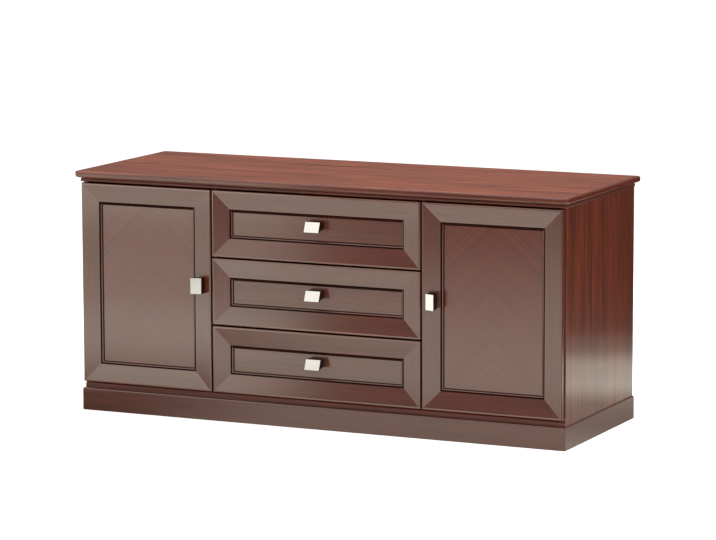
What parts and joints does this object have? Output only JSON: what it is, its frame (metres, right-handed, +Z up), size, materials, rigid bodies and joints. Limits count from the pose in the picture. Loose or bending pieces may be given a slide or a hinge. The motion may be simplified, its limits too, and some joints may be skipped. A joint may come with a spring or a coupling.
{
  "type": "office credenza",
  "caption": "Dark red-brown veneered office credenza with drawers between two cupboards, sloped mitred frames, beaded panels, metal wedge knobs, a moulded top and a plinth",
  "frame": {"origin": "on the floor under the middle of the whole", "axes": "+X right as seen from the front, +Y back, +Z up; the front faces -Y"},
  "size_m": [1.638, 0.6158, 0.75],
  "materials": {
    "veneer": "dark red-brown stained veneer under gloss lacquer",
    "lining": "plain dark veneer, satin",
    "hardboard": "thin fibreboard, matt",
    "drawer_wood": "pale birch plywood, satin",
    "knob_metal": "satin nickel-plated casting",
    "fitting_steel": "zinc-plated sheet steel"
  },
  "bodies": {
    "cabinet": {"top_panel": "veneer", "under_top_panel": "veneer", "left_side_panel": "veneer", "right_side_panel": "veneer", "bottom_panel": "veneer", "plinth_front": "veneer", "left_plinth_side": "veneer", "right_plinth_side": "veneer", "left_divider": "lining", "right_divider": "lining", "left_shelf": "lining", "right_shelf": "lining", "plinth_back": "lining", "left_plinth_stretcher": "lining", "right_plinth_stretcher": "lining", "back_panel": "hardboard", "left_lower_hinge_arm": "fitting_steel", "left_upper_hinge_arm": "fitting_steel", "right_lower_hinge_arm": "fitting_steel", "right_upper_hinge_arm": "fitting_steel", "left_bottom_cabinet_slide": "fitting_steel", "right_bottom_cabinet_slide": "fitting_steel", "left_middle_cabinet_slide": "fitting_steel", "right_middle_cabinet_slide": "fitting_steel", "left_top_cabinet_slide": "fitting_steel", "right_top_cabinet_slide": "fitting_steel"},
    "left_door": {"left_door_frame": "veneer", "left_door_panel": "veneer", "left_door_knob": "knob_metal", "left_lower_hinge_cup": "fitting_steel", "left_upper_hinge_cup": "fitting_steel"},
    "right_door": {"right_door_frame": "veneer", "right_door_panel": "veneer", "right_door_knob": "knob_metal", "right_lower_hinge_cup": "fitting_steel", "right_upper_hinge_cup": "fitting_steel"},
    "bottom_drawer": {"bottom_drawer_frame": "veneer", "bottom_drawer_panel": "veneer", "bottom_drawer_knob": "knob_metal", "bottom_drawer_box": "drawer_wood", "bottom_drawer_bottom": "drawer_wood", "left_bottom_drawer_slide": "fitting_steel", "right_bottom_drawer_slide": "fitting_steel"},
    "middle_drawer": {"middle_drawer_frame": "veneer", "middle_drawer_panel": "veneer", "middle_drawer_knob": "knob_metal", "middle_drawer_box": "drawer_wood", "middle_drawer_bottom": "drawer_wood", "left_middle_drawer_slide": "fitting_steel", "right_middle_drawer_slide": "fitting_steel"},
    "top_drawer": {"top_drawer_frame": "veneer", "top_drawer_panel": "veneer", "top_drawer_knob": "knob_metal", "top_drawer_box": "drawer_wood", "top_drawer_bottom": "drawer_wood", "left_top_drawer_slide": "fitting_steel", "right_top_drawer_slide": "fitting_steel"}
  },
  "joints": [
    {"name": "left_door_hinge", "type": "hinge", "parent": "cabinet", "child": "left_door", "pos_m": [-0.791, -0.2601, 0.4025], "axis": [0, 0, -1], "range_deg": [0, 95]},
    {"name": "right_door_hinge", "type": "hinge", "parent": "cabinet", "child": "right_door", "pos_m": [0.791, -0.2601, 0.4025], "axis": [0, 0, 1], "range_deg": [0, 95]},
    {"name": "bottom_drawer_slide", "type": "slide", "parent": "cabinet", "child": "bottom_drawer", "axis": [0, -1, 0], "range_m": [0, 0.36]},
    {"name": "middle_drawer_slide", "type": "slide", "parent": "cabinet", "child": "middle_drawer", "axis": [0, -1, 0], "range_m": [0, 0.36]},
    {"name": "top_drawer_slide", "type": "slide", "parent": "cabinet", "child": "top_drawer", "axis": [0, -1, 0], "range_m": [0, 0.36]}
  ]
}
